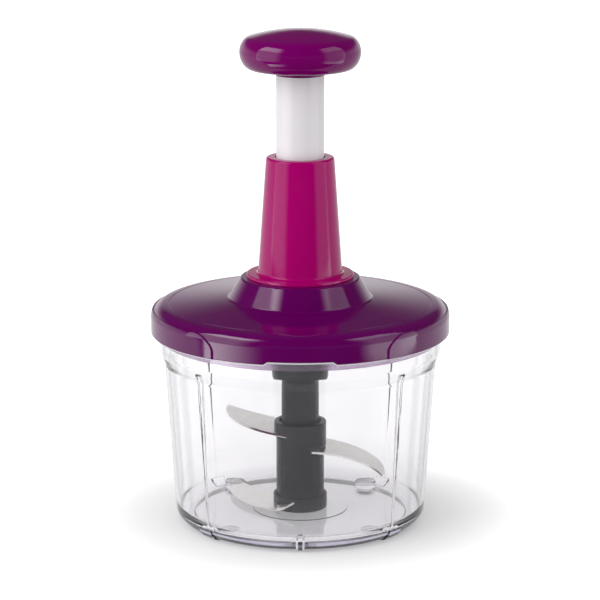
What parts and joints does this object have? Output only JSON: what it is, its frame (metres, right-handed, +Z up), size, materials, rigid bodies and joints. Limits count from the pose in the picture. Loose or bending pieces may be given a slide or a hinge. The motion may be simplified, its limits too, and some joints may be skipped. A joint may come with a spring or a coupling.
{
  "type": "plunger food chopper",
  "caption": "Hand food chopper: clear bowl, crescent blades on a dark shaft, purple lid with a tapered tower and a mushroom knob; pressing the knob spins the blades.",
  "frame": {"origin": "centre of the bowl's foot, on the table", "axes": "+Z up along the axis of the bowl, the tower and the knob; -Y towards the notch at the front of the lid; +X to the right of a viewer at the front"},
  "size_m": [0.167, 0.1652, 0.2771],
  "materials": {
    "clear": "clear, glossy",
    "purple_gloss": "gloss",
    "magenta_gloss": "gloss",
    "white_gloss": "gloss",
    "dark_plastic": "satin",
    "blade_steel": "satin, ground edge",
    "steel": "bright",
    "seal": "translucent, soft",
    "nylon": "plain"
  },
  "bodies": {
    "bowl_unit": {"bowl": "clear", "pivot_pin": "steel", "foot_pads": "clear"},
    "lid": {"lid_shell": "purple_gloss", "tower": "magenta_gloss", "guide_bush": "nylon", "rod_bush": "nylon", "return_spring": "steel", "lid_seal": "seal", "inner_cover": "purple_gloss", "socket_bush": "nylon", "cover_screws": "steel", "tower_screws": "steel"},
    "plunger": {"plunger_tube": "white_gloss", "knob": "purple_gloss", "knob_base": "purple_gloss", "knob_screw": "steel", "drive_nut": "nylon"},
    "rod": {"twist_rod": "steel", "rod_hub": "nylon", "ratchet_pawls": "nylon"},
    "drive": {"drive_socket": "dark_plastic", "ratchet_ring": "nylon", "thrust_washer": "steel"},
    "blade_unit": {"blade_shaft": "dark_plastic", "pivot_bush": "nylon", "upper_hub": "dark_plastic", "middle_sleeve": "dark_plastic", "lower_hub": "dark_plastic", "blade_upper": "blade_steel", "blade_middle": "blade_steel", "blade_lower": "blade_steel"}
  },
  "joints": [
    {"name": "lid_lift", "type": "slide", "parent": "bowl_unit", "child": "lid", "axis": [0, 0, 1], "range_m": [0, 0.08]},
    {"name": "plunger_press", "type": "slide", "parent": "lid", "child": "plunger", "axis": [0, 0, 1], "range_m": [-0.044, 0], "stiffness_N_per_m": 400, "springref_m": 0.01, "deforming": ["return_spring"]},
    {"name": "rod_turn", "type": "hinge", "parent": "lid", "child": "rod", "pos_m": [0, 0, 0.12], "axis": [0, 0, 1], "range_deg": [0, 400]},
    {"name": "drive_turn", "type": "hinge", "parent": "lid", "child": "drive", "pos_m": [0, 0, 0.1], "axis": [0, 0, 1], "range_deg": [0, 400]},
    {"name": "blade_turn", "type": "hinge", "parent": "bowl_unit", "child": "blade_unit", "pos_m": [0, 0, 0.02], "axis": [0, 0, 1], "range_deg": [0, 400]}
  ],
  "couplings": [
    {"joint": "rod_turn", "follows": "plunger_press", "rad_per_m": -157.08},
    {"joint": "drive_turn", "follows": "plunger_press", "rad_per_m": -157.08},
    {"joint": "blade_turn", "follows": "plunger_press", "rad_per_m": -157.08}
  ]
}
